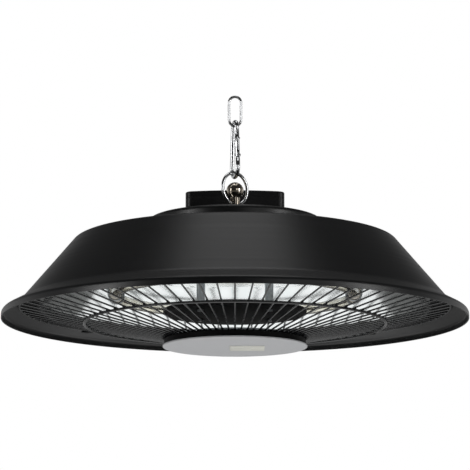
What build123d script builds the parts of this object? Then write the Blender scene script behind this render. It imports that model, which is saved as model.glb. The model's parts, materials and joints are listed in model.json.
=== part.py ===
"""Hanging infrared patio heater: a spun shade with ring heating tubes behind a wire grille.

Units are millimetres and +Z is up. The origin is the point at the top of the inside of the chain
link where a ceiling hook bears. A size called a height is above the lower edge of the shade, and
level() turns it into the model's own Z.
"""
import os
from math import asin, atan2, cos, degrees, hypot, radians, sin, sqrt

from build123d import *

os.makedirs("parts", exist_ok=True)

# Clearances
hang_gap = 0.2           # between two links that hang in each other
seat_gap = 0.1           # between a welded or clipped wire and what carries it
fit_gap = 0.15           # round a screw, pin or spacer in its hole
running_gap = 0.06       # round the gate rivet
cover_gap = 0.3          # between a cover and its neighbour

# Shade, spun from sheet
brim_radius = 212.5
brim_face_height = 6.0
brim_corner_radius = 4.5
flare_width = 17.3        # from the brim in to the foot of the cone
flare_top_height = 15.1
flare_bend_radius = 14.0
cone_width = 48.7         # from the foot of the cone in to its top
shade_height = 73.2
shade_top_bend_radius = 6.0
shade_wall = 1.2
wire_way_radius = 17.0

# Top cap
cap_radius = 80.3
cap_height = 20.2
cap_corner_radius = 4.0
cap_wall = 1.2

# Ball stem
ball_radius = 8.0
ball_rise = 27.6          # ball centre above the cap
eye_rise = 14.9           # cross hole above the cap
neck_radius = 4.6
collar_radius = 9.0
collar_height = 2.0
collar_flare = 5.0
shank_radius = 4.0
shank_tail = 2.5
stem_nut_width = 13.0
stem_nut_height = 6.5
stem_washer_radius = 8.5
stem_washer_height = 1.6

# Hanging ring
ring_wire = 3.0
ring_inner_radius = 13.3
ring_turn = 41.0          # its plane, turned from the X axis

# Spring hook
hook_wire = 4.0
hook_length = 55.6
hook_top_bend_radius = 5.0
hook_bottom_bend_radius = 8.0
hook_turn = -70.0         # from the back of the hook to its gate, turned from the X axis
gate_foot = 17.4          # rivet above the inside of the hook's bottom
gate_length = 18.8
tongue_thickness = 1.6
rivet_radius = 0.8
rivet_head_radius = 1.3
rivet_head_height = 0.4
tongue_reach = 1.8        # beyond the rivet
tongue_root_length = 2.8  # below the rivet
tongue_half_width = 1.6
latch_neck_length = 2.2
latch_neck_half_width = 1.0
latch_head_length = 1.6
latch_head_depth = 1.6
gate_edge_radius = 0.4

# Chain link
link_wire = 2.4
link_width = 13.4
link_length = 30.0

# Control box on the cap
box_width = 92.0
box_depth = 46.0
box_height = 32.6
box_front = 20.0
box_corner_radius = 6.0
box_wall = 2.2
box_lid_height = 7.0
box_lid_crown = 1.2
gasket_thickness = 0.8
gasket_width = 1.6
lid_post_radius = 3.4
lid_post_inset = 6.6
box_screw_spacing = 56.0

# Screws and nuts
small_screw_radius = 1.5
small_screw_head_radius = 2.8
small_screw_head_height = 1.6
small_screw_slot_length = 3.9
small_screw_slot_width = 0.7
small_nut_height = 2.4
frame_bolt_radius = 2.0
frame_bolt_head_radius = 3.6
frame_bolt_head_height = 2.4
frame_nut_height = 3.2
thread_tail_length = 1.2  # beyond a nut
lid_screw_length = 14.0

# Cable gland
gland_thread_radius = 6.0
gland_bore_radius = 3.7
gland_hex_width = 15.0
gland_hex_height = 5.0
gland_cap_radius = 7.2
gland_cap_height = 11.0
gland_cap_edge_radius = 2.5
gland_nut_height = 4.0
gland_inset = 22.0        # from the -x end of the box

# Electrics on the shade's top and in the box
terminal_length = 60.0
terminal_depth = 18.0
terminal_height = 13.0
terminal_front = -38.0
terminal_well_depth = 3.2
terminal_count = 6
cutout_base_radius = 8.0
cutout_base_height = 4.0
cutout_can_radius = 5.6
cutout_can_height = 4.0
cutout_x = 26.8
cutout_y = 45.6
board_thickness = 1.6
board_clearance = 3.0     # to the posts, the grommet, the front wall and the gland's nut
board_leg_height = 4.0
board_leg_inset = 2.5
relay_width = 20.0
relay_depth = 16.0
relay_height = 15.5
relay_corner_radius = 1.1
supply_wire_radius = 1.1
supply_wire_bend_radius = 5.0
supply_wire_spacing = 2.7
supply_wire_rise = 8.4
grommet_bore_width = 8.0
grommet_lip_width = 1.6

# Hanger strap in the cap
strap_thickness = 2.5
strap_width = 30.0
strap_span = 118.0
strap_foot = 14.0
strap_bolt_spacing = 18.0

# Reflector and heat shield
reflector_wall = 0.8
reflector_mouth_inset = 21.2      # from the foot of the cone
reflector_mouth_height = 18.0
reflector_lip = 4.0
reflector_wall_width = 30.0       # from the mouth in to the seam
reflector_step = 1.2
reflector_shoulder_width = 5.0    # from the seam in to the ceiling
reflector_shoulder_height = 8.0
reflector_headroom = 11.2         # between its ceiling and the top of the shade
shield_radius = 96.0
shield_wall = 0.6
spacer_radius = 4.5

# Black carrier plate under the reflector
carrier_radius = 65.5
carrier_height = 5.8
carrier_wall = 1.5
carrier_rim_height = 4.0
carrier_edge_radius = 2.4
carrier_spacer_radius = 3.5
carrier_spacer_circle_radius = 44.0

# Heating tubes
tube_inset = 35.0         # from the reflector's seam in to the middle of the tube
tube_height = 24.0
tube_radius = 5.0
tube_glass = 1.0
filament_radius = 1.3
end_cap_radius = 5.6
end_cap_length = 16.0
tube_end_gap = 3.8
lead_radius = 0.9
lead_bend_radius = 1.7
lead_rise = 4.3           # above the shade, at the terminal block

# Tube holders
clip_wire = 1.6
clip_offset = 10.0
holder_width = 15.4
holder_depth = 9.0
holder_height = 11.0
holder_chamfer = 0.8
holder_rise = 6.5         # holder block above the tube's axis
bracket_thickness = 1.5
bracket_foot = 12.0

# Grille
wire_count = 72
grille_wire = 1.6
grille_ring_wire = 2.5
grille_ring_inset = 16.4  # from the brim
grille_mid_inset = 75.4   # from the brim
grille_air_gap = 1.0
hub_radius = 64.4
hub_depth = 5.2
hub_wall = 1.0
hub_clamp_margin = 3.0
hub_clamp_wall = 1.5
hub_screw_circle_radius = 40.0
wire_tail_length = 9.0
disc_radius = 65.8
disc_thickness = 1.4
disc_edge_radius = 0.45
disc_drop = 24.0
plate_width = 32.0
plate_depth = 31.0
plate_thickness = 0.4
plate_corner_radius = 1.6
plate_x = 11.0
plate_y = 6.0
clip_count = 4
clip_tab_thickness = 1.0
clip_tab_width = 8.0

# Sizes and places that follow from the ones above
flare_top_radius = brim_radius - flare_width
shade_top_radius = flare_top_radius - cone_width
reflector_mouth_radius = flare_top_radius - reflector_mouth_inset
reflector_seam_radius = reflector_mouth_radius - reflector_wall_width
reflector_top_radius = reflector_seam_radius - reflector_shoulder_width
reflector_top_height = shade_height - reflector_headroom
reflector_seam_height = reflector_top_height - reflector_shoulder_height
tube_circle_radius = reflector_seam_radius - tube_inset
grille_ring_radius = brim_radius - grille_ring_inset
grille_mid_radius = brim_radius - grille_mid_inset
ring_radius = ring_inner_radius + ring_wire / 2
cap_top_height = shade_height + cap_height
eye_height = cap_top_height + eye_rise
ring_top_height = eye_height + 2 * ring_radius
hook_bar_height = ring_top_height - (ring_wire + hook_wire) / 2 - hang_gap
hook_top_height = hook_bar_height + hook_length - hook_wire
link_bar_height = hook_top_height - (hook_wire + link_wire) / 2 - hang_gap
link_top_height = link_bar_height + link_length - link_wire
hang_height = link_top_height - link_wire / 2


def level(height):
    """Z of a height above the lower edge of the shade."""
    return height - hang_height


def polar(radius, angle):
    """Point at a radius and an angle about the Z axis."""
    return (radius * cos(radians(angle)), radius * sin(radians(angle)))


def front_plane(y, z):
    """Upright plane at y that faces the front, with its origin at z."""
    return Plane(origin=(0, y, z), x_dir=(1, 0, 0), z_dir=(0, -1, 0))


# Last link of the chain, a closed oval of round wire
link_bend = (link_width - link_wire) / 2
link_low = level(link_bar_height) + link_bend
link_high = level(link_top_height) - link_bend
with BuildPart() as chain_link:
    with BuildLine(Plane.XZ) as link_path:
        Line((link_bend, link_low), (link_bend, link_high))
        ThreePointArc((link_bend, link_high), (0, link_high + link_bend), (-link_bend, link_high))
        Line((-link_bend, link_high), (-link_bend, link_low))
        ThreePointArc((-link_bend, link_low), (0, link_low - link_bend), (link_bend, link_low))
    with BuildSketch(Plane(origin=(link_bend, 0, link_low), z_dir=(0, 0, 1))):
        Circle(link_wire / 2)
    sweep(path=link_path.line)
chain_link.part.label = "chain_link"
export_step(chain_link.part, "parts/chain_link.step")

# Spring hook, drawn in its own upright plane: x towards the gate, y up, from the bottom bar
hook_plane = Plane(
    origin=(0, 0, level(hook_bar_height)),
    x_dir=(cos(radians(hook_turn)), sin(radians(hook_turn)), 0),
    z_dir=(sin(radians(hook_turn)), -cos(radians(hook_turn)), 0),
)
hook_rise = hook_length - hook_wire - hook_top_bend_radius - hook_bottom_bend_radius
hook_lean = asin((hook_bottom_bend_radius - hook_top_bend_radius) / hook_rise)
tangent_way = Vector(cos(hook_lean), sin(hook_lean))
gate_low = Vector(0, hook_bottom_bend_radius) + tangent_way * hook_bottom_bend_radius
gate_high = Vector(0, hook_bottom_bend_radius + hook_rise) + tangent_way * hook_top_bend_radius
hook_crown = Vector(0, hook_bottom_bend_radius + hook_rise + hook_top_bend_radius)
back_low = Vector(-gate_low.X, gate_low.Y)
back_high = Vector(-gate_high.X, gate_high.Y)
gate_axis = (gate_high - gate_low).normalized()
gate_out = Vector(gate_axis.Y, -gate_axis.X)
hook_wire_radius = hook_wire / 2
rivet_point = gate_low + gate_axis * ((gate_foot - gate_low.Y + hook_wire_radius) / gate_axis.Y)
tongue_end = rivet_point + gate_axis * tongue_reach
tongue_start = rivet_point - gate_axis * tongue_root_length
nose_end = rivet_point + gate_axis * gate_length
latch_start = nose_end + gate_axis * cover_gap
head_low = latch_start - gate_axis * (latch_neck_length + latch_head_length)


def on_hook(point):
    """Point of the hook's own plane, in the model's frame."""
    return hook_plane.from_local_coords(point)


def hook_bar(start, end, half_width):
    """Corners of a straight bar along the gate, in the hook's plane."""
    side = gate_out * half_width
    return [start - side, start + side, end + side, end - side]


with BuildPart() as carabiner_body:
    with BuildLine() as hook_path:
        Line(on_hook(tongue_start), on_hook(gate_low))
        ThreePointArc(on_hook(gate_low), on_hook(Vector(0, 0)), on_hook(back_low))
        Line(on_hook(back_low), on_hook(back_high))
        ThreePointArc(on_hook(back_high), on_hook(hook_crown), on_hook(gate_high))
        Line(on_hook(gate_high), on_hook(latch_start))
    with BuildSketch(Plane(hook_path.line @ 0, z_dir=hook_path.line % 0)):
        Circle(hook_wire_radius)
    sweep(path=hook_path.line)
    with BuildSketch(hook_plane):
        with BuildLine():
            Polyline(*hook_bar(tongue_start, tongue_end, tongue_half_width), close=True)
        make_face()
    extrude(amount=tongue_thickness / 2, both=True)
    with BuildSketch(hook_plane):
        with BuildLine():
            Polyline(*hook_bar(head_low, latch_start, latch_neck_half_width), close=True)
        make_face()
        with BuildLine():
            head_high = head_low + gate_axis * latch_head_length
            Polyline(
                head_low,
                head_low + gate_out * (hook_wire_radius + latch_head_depth / 2),
                head_high + gate_out * (hook_wire_radius + latch_head_depth),
                head_high,
                close=True,
            )
        make_face()
    extrude(amount=tongue_thickness / 2, both=True)
    with BuildSketch(hook_plane):
        with Locations(rivet_point):
            Circle(rivet_radius + running_gap)
    extrude(amount=hook_wire, both=True, mode=Mode.SUBTRACT)
carabiner_body.part.label = "carabiner_body"
export_step(carabiner_body.part, "parts/carabiner_body.step")

# Gate of the hook: a bar with a forked foot round the tongue and a slotted nose round the latch
gate_foot_end = rivet_point - gate_axis * hook_wire_radius
slot_width = tongue_thickness + 2 * running_gap
foot_slot_top = rivet_point + gate_axis * (hypot(tongue_reach, tongue_half_width) + running_gap)
nose_slot_floor = head_low - gate_axis * cover_gap
with BuildPart() as carabiner_gate:
    gate_plane = Plane(
        on_hook(gate_foot_end),
        z_dir=on_hook(nose_end) - on_hook(gate_foot_end),
    )
    with BuildSketch(gate_plane):
        Circle(hook_wire_radius)
    extrude(amount=gate_length + hook_wire_radius)
    fillet(carabiner_gate.edges().filter_by(GeomType.CIRCLE), gate_edge_radius)
    with BuildSketch(hook_plane):
        with BuildLine():
            below_foot = gate_foot_end - gate_axis * hook_wire_radius
            Polyline(*hook_bar(below_foot, foot_slot_top, hook_wire), close=True)
        make_face()
        with BuildLine():
            above_nose = nose_end + gate_axis * hook_wire_radius
            Polyline(*hook_bar(nose_slot_floor, above_nose, hook_wire), close=True)
        make_face()
    extrude(amount=slot_width / 2, both=True, mode=Mode.SUBTRACT)
    with BuildSketch(hook_plane):
        with Locations(rivet_point):
            Circle(rivet_radius + running_gap)
    extrude(amount=hook_wire, both=True, mode=Mode.SUBTRACT)
carabiner_gate.part.label = "carabiner_gate"
export_step(carabiner_gate.part, "parts/carabiner_gate.step")

rivet_reach = hook_wire_radius + running_gap
with BuildPart() as gate_rivet:
    with BuildSketch(hook_plane):
        with Locations(rivet_point):
            Circle(rivet_radius)
    extrude(amount=rivet_reach, both=True)
    for side in (-1, 1):
        with BuildSketch(hook_plane.offset(side * rivet_reach)):
            with Locations(rivet_point):
                Circle(rivet_head_radius)
        extrude(amount=side * rivet_head_height)
gate_rivet.part.label = "gate_rivet"
export_step(gate_rivet.part, "parts/gate_rivet.step")

# Hanging ring through the hook and the eye of the stem
ring_plane = Plane(
    origin=(0, 0, level(eye_height + ring_radius)),
    x_dir=(*polar(1, ring_turn), 0),
    z_dir=(*polar(1, ring_turn - 90), 0),
)
with BuildPart() as hanging_ring:
    with BuildSketch(Plane(ring_plane.origin, x_dir=ring_plane.x_dir, z_dir=(0, 0, 1))):
        with Locations((ring_radius, 0)):
            Circle(ring_wire / 2)
    revolve(axis=Axis(ring_plane.origin, ring_plane.z_dir))
hanging_ring.part.label = "hanging_ring"
export_step(hanging_ring.part, "parts/hanging_ring.step")

# Ball stem: ball, neck with a cross hole, collar on the cap and a threaded shank below it
neck_top = ball_rise - sqrt(ball_radius**2 - neck_radius**2)
shank_length = cap_wall + strap_thickness + stem_washer_height + stem_nut_height + shank_tail
eye_sag = ring_radius - sqrt(ring_radius**2 - neck_radius**2)
eye_radius = ring_wire / 2 + eye_sag + hang_gap
stem_base = front_plane(0, level(cap_top_height))
with BuildPart() as ball_stem:
    with BuildSketch(stem_base):
        with BuildLine():
            Polyline(
                (0, ball_rise + ball_radius),
                (0, -shank_length),
                (shank_radius, -shank_length),
                (shank_radius, 0),
                (collar_radius, 0),
                (collar_radius, collar_height),
                (neck_radius, collar_height + collar_flare),
                (neck_radius, neck_top),
            )
            CenterArc((0, ball_rise), ball_radius, degrees(-atan2(ball_rise - neck_top, neck_radius)),
                      90 + degrees(atan2(ball_rise - neck_top, neck_radius)))
        make_face()
    revolve(axis=Axis.Z)
    with BuildSketch(Plane((0, 0, level(eye_height)), z_dir=ring_plane.x_dir)):
        Circle(eye_radius)
    extrude(amount=2 * neck_radius, both=True, mode=Mode.SUBTRACT)
ball_stem.part.label = "ball_stem"
export_step(ball_stem.part, "parts/ball_stem.step")

# Nut and washer that clamp the stem to the strap and the cap
strap_level = level(cap_top_height - cap_wall - strap_thickness)
with BuildPart() as stem_washer:
    with BuildSketch(Plane.XY.offset(strap_level - stem_washer_height)):
        Circle(stem_washer_radius)
        Circle(shank_radius + fit_gap, mode=Mode.SUBTRACT)
    extrude(amount=stem_washer_height)
stem_washer.part.label = "stem_washer"
export_step(stem_washer.part, "parts/stem_washer.step")

with BuildPart() as stem_nut:
    with BuildSketch(Plane.XY.offset(strap_level - stem_washer_height - stem_nut_height)):
        RegularPolygon(stem_nut_width / 2, 6, major_radius=False)
        Circle(shank_radius + running_gap, mode=Mode.SUBTRACT)
    extrude(amount=stem_nut_height)
stem_nut.part.label = "stem_nut"
export_step(stem_nut.part, "parts/stem_nut.step")

# Bolt places: two in each foot of the strap
strap_foot_centre = strap_span / 2 - strap_foot / 2
bolt_places = [
    (side * strap_foot_centre, row * strap_bolt_spacing / 2) for side in (-1, 1) for row in (-1, 1)
]
bolt_hole = frame_bolt_radius + fit_gap

# Hanger strap, bent from flat bar, with its feet on the top of the shade
strap_rise = cap_height - cap_wall
with BuildPart() as hanger_strap:
    with BuildSketch(front_plane(strap_width / 2, level(shade_height))):
        with BuildLine():
            outer = strap_span / 2
            inner = outer - strap_foot
            Polyline(
                (-outer, 0),
                (-inner + strap_thickness, 0),
                (-inner + strap_thickness, strap_rise - strap_thickness),
                (inner - strap_thickness, strap_rise - strap_thickness),
                (inner - strap_thickness, 0),
                (outer, 0),
                (outer, strap_thickness),
                (inner, strap_thickness),
                (inner, strap_rise),
                (-inner, strap_rise),
                (-inner, strap_thickness),
                (-outer, strap_thickness),
                close=True,
            )
        make_face()
    extrude(amount=strap_width)
    with BuildSketch(Plane.XY.offset(level(shade_height))):
        Circle(shank_radius + fit_gap)
    extrude(amount=strap_rise, mode=Mode.SUBTRACT)
    with BuildSketch(Plane.XY.offset(level(shade_height))):
        with Locations(*bolt_places):
            Circle(bolt_hole)
    extrude(amount=strap_thickness, mode=Mode.SUBTRACT)
hanger_strap.part.label = "hanger_strap"
export_step(hanger_strap.part, "parts/hanger_strap.step")

# Shade, one spun sheet: rolled brim, flare, cone and flat top
with BuildPart() as shade:
    with BuildSketch(front_plane(0, level(0))):
        with BuildLine():
            FilletPolyline(
                (brim_radius, 0),
                (brim_radius, brim_face_height),
                (flare_top_radius, flare_top_height),
                (shade_top_radius, shade_height),
                (wire_way_radius, shade_height),
                radius=[brim_corner_radius, flare_bend_radius, shade_top_bend_radius],
            )
            offset(amount=shade_wall, side=Side.LEFT)
        make_face()
    revolve(axis=Axis.Z)
    with BuildSketch(Plane.XY.offset(level(shade_height - shade_wall))):
        with Locations(*bolt_places):
            Circle(bolt_hole)
    extrude(amount=shade_wall, mode=Mode.SUBTRACT)
shade.part.label = "shade"
export_step(shade.part, "parts/shade.step")

# Control box places on the cap
box_middle = box_front + box_depth / 2
box_screw_places = [(side * box_screw_spacing / 2, box_middle) for side in (-1, 1)]
grommet_place = (-box_width / 4, box_front + box_wall + grommet_bore_width)
grommet_hole = grommet_bore_width / 2 + grommet_lip_width
box_screw_hole = small_screw_radius + fit_gap

# Top cap, a shallow drum that covers the strap
with BuildPart() as top_cap:
    with BuildSketch(Plane.XY.offset(level(shade_height + seat_gap))):
        Circle(cap_radius)
    extrude(amount=cap_height - seat_gap)
    fillet(top_cap.faces().sort_by(Axis.Z)[-1].edges(), cap_corner_radius)
    offset(amount=-cap_wall, openings=top_cap.faces().sort_by(Axis.Z)[0])
    with BuildSketch(Plane.XY.offset(level(cap_top_height))):
        Circle(shank_radius + fit_gap)
        with Locations(*box_screw_places):
            Circle(box_screw_hole)
        with Locations(grommet_place):
            Circle(grommet_hole)
    extrude(amount=-2 * cap_wall, mode=Mode.SUBTRACT)
top_cap.part.label = "top_cap"
export_step(top_cap.part, "parts/top_cap.step")

# Control box: base tray, gasket and crowned lid
box_seam = box_height - box_lid_height
lid_post_places = [
    (side_x * (box_width / 2 - lid_post_inset), box_middle + side_y * (box_depth / 2 - lid_post_inset))
    for side_x in (-1, 1)
    for side_y in (-1, 1)
]
gland_level = level(cap_top_height + box_wall + (box_seam - box_wall) / 2)
rear_wall = box_front + box_depth
gland_x = gland_inset - box_width / 2
with BuildPart() as control_box_base:
    with BuildSketch(Plane.XY.offset(level(cap_top_height))):
        with Locations((0, box_middle)):
            RectangleRounded(box_width, box_depth, box_corner_radius)
    extrude(amount=box_seam)
    offset(amount=-box_wall, openings=control_box_base.faces().sort_by(Axis.Z)[-1])
    with BuildSketch(Plane.XY.offset(level(cap_top_height))):
        with Locations(*lid_post_places):
            Circle(lid_post_radius)
    extrude(amount=box_seam)
    with BuildSketch(Plane.XY.offset(level(cap_top_height + box_seam))):
        with Locations(*lid_post_places):
            Circle(small_screw_radius + running_gap)
    extrude(amount=-box_seam / 2, mode=Mode.SUBTRACT)
    with BuildSketch(Plane.XY.offset(level(cap_top_height))):
        with Locations(*box_screw_places):
            Circle(box_screw_hole)
        with Locations(grommet_place):
            Circle(grommet_hole)
    extrude(amount=box_wall, mode=Mode.SUBTRACT)
    with BuildSketch(front_plane(rear_wall, 0)):
        with Locations((gland_x, gland_level)):
            Circle(gland_thread_radius + fit_gap)
    extrude(amount=2 * box_wall, mode=Mode.SUBTRACT)
control_box_base.part.label = "control_box_base"
export_step(control_box_base.part, "parts/control_box_base.step")

gasket_level = level(cap_top_height + box_seam)
with BuildPart() as lid_gasket:
    with BuildSketch(Plane.XY.offset(gasket_level)):
        with Locations((0, box_middle)):
            RectangleRounded(box_width - 2 * cover_gap, box_depth - 2 * cover_gap, box_corner_radius)
            RectangleRounded(
                box_width - 2 * (cover_gap + gasket_width),
                box_depth - 2 * (cover_gap + gasket_width),
                box_corner_radius - gasket_width,
                mode=Mode.SUBTRACT,
            )
    extrude(amount=gasket_thickness)
lid_gasket.part.label = "lid_gasket"
export_step(lid_gasket.part, "parts/lid_gasket.step")

lid_level = gasket_level + gasket_thickness
lid_rise = box_lid_height - gasket_thickness - box_lid_crown
with BuildPart() as control_box_lid:
    with BuildSketch(front_plane(box_front, lid_level)):
        with BuildLine():
            Polyline(
                (-box_width / 2, lid_rise),
                (-box_width / 2, 0),
                (box_width / 2, 0),
                (box_width / 2, lid_rise),
            )
            ThreePointArc(
                (box_width / 2, lid_rise), (0, lid_rise + box_lid_crown), (-box_width / 2, lid_rise)
            )
        make_face()
    extrude(amount=-box_depth)
    fillet(control_box_lid.edges().filter_by(Axis.Z), box_corner_radius)
    fillet(control_box_lid.faces().sort_by(Axis.Z)[-1].edges(), box_wall / 2)
    with BuildSketch(Plane.XY.offset(lid_level)):
        with Locations((0, box_middle)):
            RectangleRounded(box_width - 2 * box_wall, box_depth - 2 * box_wall, box_corner_radius - box_wall)
    extrude(amount=lid_rise - box_wall, mode=Mode.SUBTRACT)
    with BuildSketch(Plane.XY.offset(lid_level)):
        with Locations(*lid_post_places):
            Circle(lid_post_radius)
    extrude(amount=lid_rise - box_wall / 2)
    with BuildSketch(Plane.XY.offset(lid_level)):
        with Locations(*lid_post_places):
            Circle(small_screw_radius + fit_gap)
    extrude(amount=box_lid_height, mode=Mode.SUBTRACT)
    with BuildSketch(Plane.XY.offset(lid_level + lid_rise - small_screw_head_height)):
        with Locations(*lid_post_places):
            Circle(small_screw_head_radius + fit_gap)
    extrude(amount=box_lid_height, mode=Mode.SUBTRACT)
control_box_lid.part.label = "control_box_lid"
export_step(control_box_lid.part, "parts/control_box_lid.step")

# Lid screws, heads sunk level with the lid
lid_head_level = lid_level + lid_rise - small_screw_head_height
with BuildPart() as lid_screws:
    with BuildSketch(Plane.XY.offset(lid_head_level)):
        with Locations(*lid_post_places):
            Circle(small_screw_head_radius)
    extrude(amount=small_screw_head_height)
    with BuildSketch(Plane.XY.offset(lid_head_level)):
        with Locations(*lid_post_places):
            Circle(small_screw_radius)
    extrude(amount=-lid_screw_length)
    with BuildSketch(Plane.XY.offset(lid_head_level + small_screw_head_height)):
        with Locations(*lid_post_places):
            Rectangle(small_screw_slot_length, small_screw_slot_width)
            Rectangle(small_screw_slot_width, small_screw_slot_length)
    extrude(amount=-small_screw_head_height / 2, mode=Mode.SUBTRACT)
lid_screws.part.label = "lid_screws"
export_step(lid_screws.part, "parts/lid_screws.step")

# Screws and nuts that hold the box to the cap
box_floor = level(cap_top_height) + box_wall
with BuildPart() as box_screws:
    with BuildSketch(Plane.XY.offset(box_floor)):
        with Locations(*box_screw_places):
            Circle(small_screw_head_radius)
    extrude(amount=small_screw_head_height)
    with BuildSketch(Plane.XY.offset(box_floor)):
        with Locations(*box_screw_places):
            Circle(small_screw_radius)
    extrude(amount=-(box_wall + cap_wall + small_nut_height + thread_tail_length))
box_screws.part.label = "box_screws"
export_step(box_screws.part, "parts/box_screws.step")

with BuildPart() as box_nuts:
    with BuildSketch(Plane.XY.offset(level(cap_top_height) - cap_wall)):
        with Locations(*box_screw_places):
            RegularPolygon(small_screw_head_radius, 6, major_radius=False)
        with Locations(*box_screw_places):
            Circle(small_screw_radius + running_gap, mode=Mode.SUBTRACT)
    extrude(amount=-small_nut_height)
box_nuts.part.label = "box_nuts"
export_step(box_nuts.part, "parts/box_nuts.step")

# Cable gland in the rear wall of the box: body, lock nut inside and dome cap outside
gland_plane = Plane(
    origin=(gland_x, rear_wall, gland_level), x_dir=(1, 0, 0), z_dir=(0, 1, 0)
)
gland_tail = box_wall + gland_nut_height
with BuildPart() as cable_gland:
    with BuildSketch(gland_plane):
        RegularPolygon(gland_hex_width / 2, 6, major_radius=False)
    extrude(amount=gland_hex_height)
    with BuildSketch(gland_plane):
        Circle(gland_thread_radius)
    extrude(amount=-gland_tail)
    with BuildSketch(gland_plane.offset(gland_hex_height)):
        Circle(gland_thread_radius - 2 * running_gap)
    extrude(amount=gland_cap_height / 2)
    with BuildSketch(gland_plane.offset(-gland_tail)):
        Circle(gland_bore_radius)
    extrude(amount=gland_tail + gland_hex_height + gland_cap_height, mode=Mode.SUBTRACT)
cable_gland.part.label = "cable_gland"
export_step(cable_gland.part, "parts/cable_gland.step")

with BuildPart() as gland_lock_nut:
    with BuildSketch(gland_plane.offset(-box_wall)):
        RegularPolygon(gland_hex_width / 2, 6, major_radius=False)
        Circle(gland_thread_radius + running_gap, mode=Mode.SUBTRACT)
    extrude(amount=-gland_nut_height)
gland_lock_nut.part.label = "gland_lock_nut"
export_step(gland_lock_nut.part, "parts/gland_lock_nut.step")

with BuildPart() as gland_cap:
    with BuildSketch(gland_plane.offset(gland_hex_height + seat_gap)):
        Circle(gland_cap_radius)
    extrude(amount=gland_cap_height)
    fillet(gland_cap.faces().sort_by(Axis.Y)[-1].edges(), gland_cap_edge_radius)
    with BuildSketch(gland_plane.offset(gland_hex_height)):
        Circle(gland_bore_radius)
    extrude(amount=2 * gland_cap_height, mode=Mode.SUBTRACT)
    with BuildSketch(gland_plane.offset(gland_hex_height)):
        Circle(gland_thread_radius)
    extrude(amount=gland_cap_height / 2 + 2 * seat_gap, mode=Mode.SUBTRACT)
gland_cap.part.label = "gland_cap"
export_step(gland_cap.part, "parts/gland_cap.step")

# Rubber grommet where the wires pass from the box into the cap
grommet_floor = level(cap_top_height) - cap_wall
with BuildPart() as grommet:
    for flange in (grommet_floor, box_floor + grommet_lip_width):
        with BuildSketch(Plane.XY.offset(flange)):
            with Locations(grommet_place):
                Circle(grommet_hole + grommet_lip_width)
        extrude(amount=-grommet_lip_width)
    with BuildSketch(Plane.XY.offset(grommet_floor)):
        with Locations(grommet_place):
            Circle(grommet_hole - running_gap)
    extrude(amount=cap_wall + box_wall)
    with BuildSketch(Plane.XY.offset(grommet_floor - grommet_lip_width)):
        with Locations(grommet_place):
            Circle(grommet_bore_width / 2)
    extrude(amount=cap_wall + box_wall + 2 * grommet_lip_width, mode=Mode.SUBTRACT)
grommet.part.label = "grommet"
export_step(grommet.part, "parts/grommet.step")

# Control board on four legs, with its relay
board_left = grommet_place[0] + grommet_hole + grommet_lip_width + board_clearance
board_right = box_width / 2 - lid_post_inset - lid_post_radius - board_clearance
board_near = box_front + box_wall + board_clearance
board_far = rear_wall - box_wall - gland_nut_height - board_clearance
board_width = board_right - board_left
board_depth = board_far - board_near
board_middle = ((board_left + board_right) / 2, (board_near + board_far) / 2)
board_level = box_floor + board_leg_height
with BuildPart() as control_board:
    with BuildSketch(Plane.XY.offset(board_level)):
        with Locations(board_middle):
            Rectangle(board_width, board_depth)
    extrude(amount=board_thickness)
    with BuildSketch(Plane.XY.offset(box_floor)):
        with Locations(board_middle):
            with GridLocations(board_width - 2 * board_leg_inset, board_depth - 2 * board_leg_inset, 2, 2):
                Circle(small_screw_radius)
    extrude(amount=board_leg_height)
control_board.part.label = "control_board"
export_step(control_board.part, "parts/control_board.step")

with BuildPart() as relay:
    with BuildSketch(Plane.XY.offset(board_level + board_thickness)):
        with Locations(board_middle):
            Rectangle(relay_width, relay_depth)
    extrude(amount=relay_height)
    fillet(relay.edges().filter_by(Axis.Z), relay_corner_radius)
relay.part.label = "relay"
export_step(relay.part, "parts/relay.step")

# Terminal block on the shade's top, under the cap
terminal_floor = level(shade_height)
terminal_pitch = terminal_length / terminal_count
with BuildPart() as terminal_block:
    with BuildSketch(Plane.XY.offset(terminal_floor)):
        with Locations((0, terminal_front - terminal_depth / 2)):
            Rectangle(terminal_length, terminal_depth)
    extrude(amount=terminal_height)
    with BuildSketch(Plane.XY.offset(terminal_floor + terminal_height)):
        with Locations((0, terminal_front - terminal_depth / 2)):
            with GridLocations(terminal_pitch, terminal_depth / 2, terminal_count, 2):
                Circle(small_screw_head_radius)
    extrude(amount=-terminal_well_depth, mode=Mode.SUBTRACT)
terminal_block.part.label = "terminal_block"
export_step(terminal_block.part, "parts/terminal_block.step")

# Thermal cut-out on the shade's top
with BuildPart() as thermal_cutout:
    with BuildSketch(Plane.XY.offset(level(shade_height))):
        with Locations((cutout_x, cutout_y)):
            Circle(cutout_base_radius)
    extrude(amount=cutout_base_height)
    with BuildSketch(Plane.XY.offset(level(shade_height) + cutout_base_height)):
        with Locations((cutout_x, cutout_y)):
            Circle(cutout_can_radius)
    extrude(amount=cutout_can_height)
thermal_cutout.part.label = "thermal_cutout"
export_step(thermal_cutout.part, "parts/thermal_cutout.step")

# Supply wires from the box, through the grommet, to the terminal block
supply_level = terminal_floor + supply_wire_rise
with BuildPart() as supply_wires:
    for row in (-1, 0, 1):
        wire_x = grommet_place[0] + row * supply_wire_spacing
        reach = [
            (wire_x, grommet_place[1], board_level),
            (wire_x, grommet_place[1], supply_level),
            (wire_x, terminal_front, supply_level),
        ]
        with BuildLine() as supply_path:
            FilletPolyline(*reach, radius=supply_wire_bend_radius)
        with BuildSketch(Plane(supply_path.line @ 0, z_dir=supply_path.line % 0)):
            Circle(supply_wire_radius)
        sweep(path=supply_path.line)
supply_wires.part.label = "supply_wires"
export_step(supply_wires.part, "parts/supply_wires.step")

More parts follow.
